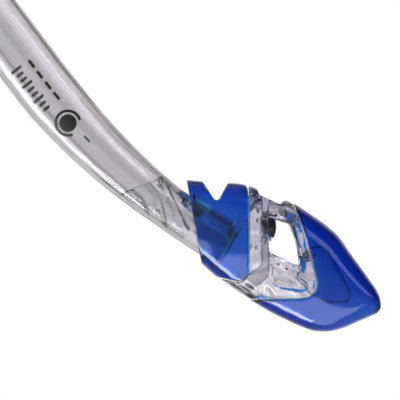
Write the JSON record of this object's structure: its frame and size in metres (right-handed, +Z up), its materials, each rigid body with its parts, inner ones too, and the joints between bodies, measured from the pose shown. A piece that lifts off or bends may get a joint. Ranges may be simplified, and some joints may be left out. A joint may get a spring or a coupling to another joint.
{
  "type": "dry snorkel",
  "caption": "Curved breathing tube with a float valve under its cap, a splash guard, a strap keeper, a flexible hose, a purge valve and a mouthpiece.",
  "frame": {"origin": "on the barrel's axis, at the middle of the keeper that the mask strap holds", "axes": "+Z up along the barrel's straight part, -X towards the mouthpiece side, +Y towards the strap buckle"},
  "size_m": [0.1159, 0.0578, 0.4855],
  "materials": {
    "clear_plastic": "clear and glossy",
    "blue_plastic": "translucent and glossy",
    "black_plastic": "satin",
    "black_rubber": "matt",
    "float_foam": "matt",
    "pin_steel": "polished",
    "silicone": "translucent satin"
  },
  "bodies": {
    "keeper": {"keeper_clip": "blue_plastic", "strap_buckle": "black_plastic"},
    "barrel": {"main_tube": "clear_plastic", "coupling_sleeve": "clear_plastic", "dry_top_frame": "clear_plastic", "splash_guard": "blue_plastic", "top_cap": "blue_plastic", "hinge_pin": "pin_steel", "barrel_end_collar": "blue_plastic"},
    "float_valve": {"float_body": "float_foam", "float_lever": "clear_plastic", "valve_seal": "black_rubber"},
    "hose": {"flex_hose": "silicone", "hose_band_upper": "blue_plastic"},
    "mouth_end": {"hose_band_lower": "blue_plastic", "purge_housing": "clear_plastic", "purge_seat": "clear_plastic", "purge_cover": "blue_plastic", "mouthpiece": "silicone", "mouthpiece_tie": "black_plastic"},
    "diaphragm": {"purge_diaphragm": "silicone"}
  },
  "joints": [
    {"name": "keeper_slide", "type": "slide", "parent": "keeper", "child": "barrel", "axis": [0, 0, 1], "range_m": [-0.04, 0.02]},
    {"name": "float_swing", "type": "hinge", "parent": "barrel", "child": "float_valve", "pos_m": [-0.06261, 0, 0.21797], "axis": [0, -1, 0], "range_deg": [0, 9]},
    {"name": "hose_swivel", "type": "hinge", "parent": "barrel", "child": "hose", "pos_m": [0, 0, -0.064], "axis": [0, 0, 1], "range_deg": [-90, 90]},
    {"name": "hose_flex", "type": "hinge", "parent": "hose", "child": "mouth_end", "pos_m": [-0.00375, 0, -0.10647], "axis": [0, 1, 0], "range_deg": [-20, 15], "stiffness_Nm_per_rad": 0.6, "deforming": ["flex_hose"]},
    {"name": "purge_lift", "type": "slide", "parent": "mouth_end", "child": "diaphragm", "axis": [-0.5, 0, -0.866], "range_m": [0, 0.0012], "stiffness_N_per_m": 60}
  ]
}
